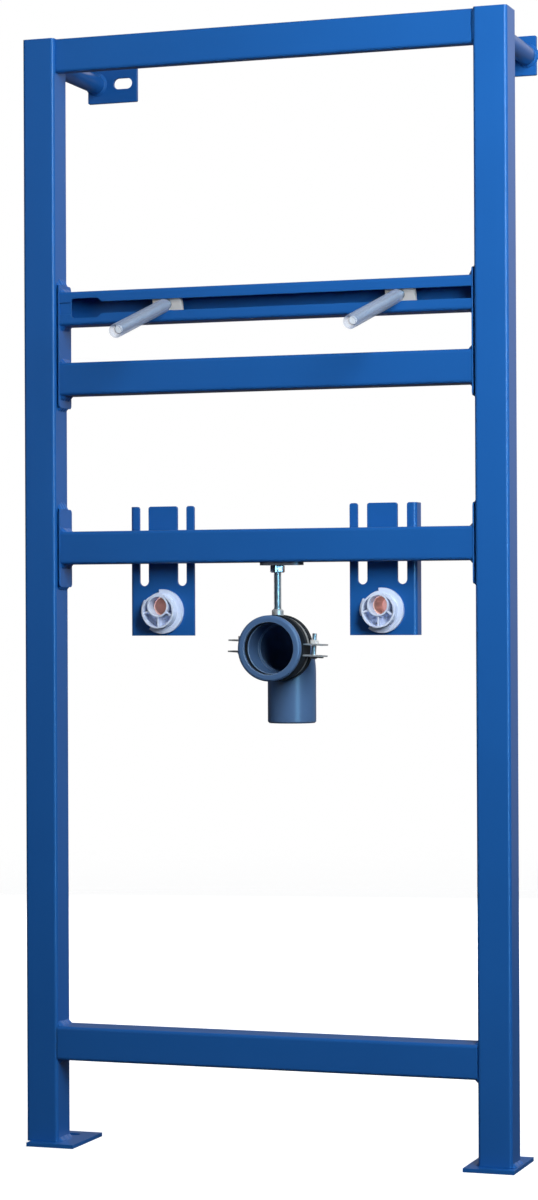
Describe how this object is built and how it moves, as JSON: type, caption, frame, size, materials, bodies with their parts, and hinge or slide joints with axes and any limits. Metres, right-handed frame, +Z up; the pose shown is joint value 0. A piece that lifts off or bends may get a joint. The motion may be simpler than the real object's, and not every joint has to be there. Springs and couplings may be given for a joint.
{
  "type": "basin installation frame",
  "caption": "Welded blue steel pre-wall frame with floor feet, wall stand-offs, a slotted channel with basin studs, tap brackets and a waste elbow in a lined clamp.",
  "frame": {"origin": "on the floor, midway between the centres of the two floor slots", "axes": "+X to the right across the frame seen from the room, +Y towards the wall, +Z up"},
  "size_m": [0.5245, 0.2915, 1.15],
  "materials": {
    "blue_coat": "gloss powder coat",
    "zinc": "zinc plated",
    "white_plastic": "satin",
    "brass": "machined",
    "sleeve_plastic": "satin",
    "pipe_plastic": "satin",
    "rubber": "matte"
  },
  "bodies": {
    "root": {"left_upright": "blue_coat", "right_upright": "blue_coat", "left_foot_plate": "blue_coat", "right_foot_plate": "blue_coat", "top_rail": "blue_coat", "bottom_rail": "blue_coat", "basin_channel": "blue_coat", "middle_rail": "blue_coat", "left_basin_end_plate": "blue_coat", "right_basin_end_plate": "blue_coat", "pipe_rail": "blue_coat", "left_pipe_end_plate": "blue_coat", "right_pipe_end_plate": "blue_coat", "left_standoff_tube": "blue_coat", "right_standoff_tube": "blue_coat", "left_wall_plate": "blue_coat", "right_wall_plate": "blue_coat", "left_tap_bracket": "blue_coat", "right_tap_bracket": "blue_coat", "left_tap_plug": "white_plastic", "left_brass_socket": "brass", "left_channel_nut": "zinc", "left_stud": "zinc", "left_stud_sleeve": "sleeve_plastic", "right_tap_plug": "white_plastic", "right_brass_socket": "brass", "right_channel_nut": "zinc", "right_stud": "zinc", "right_stud_sleeve": "sleeve_plastic", "hanger_plate": "zinc", "hanger_nut": "zinc", "hanger_rod": "zinc", "clamp_upper_half": "zinc", "clamp_lower_half": "zinc", "clamp_lining": "rubber", "socket_seal": "rubber", "waste_elbow": "pipe_plastic"}
  },
  "joints": []
}
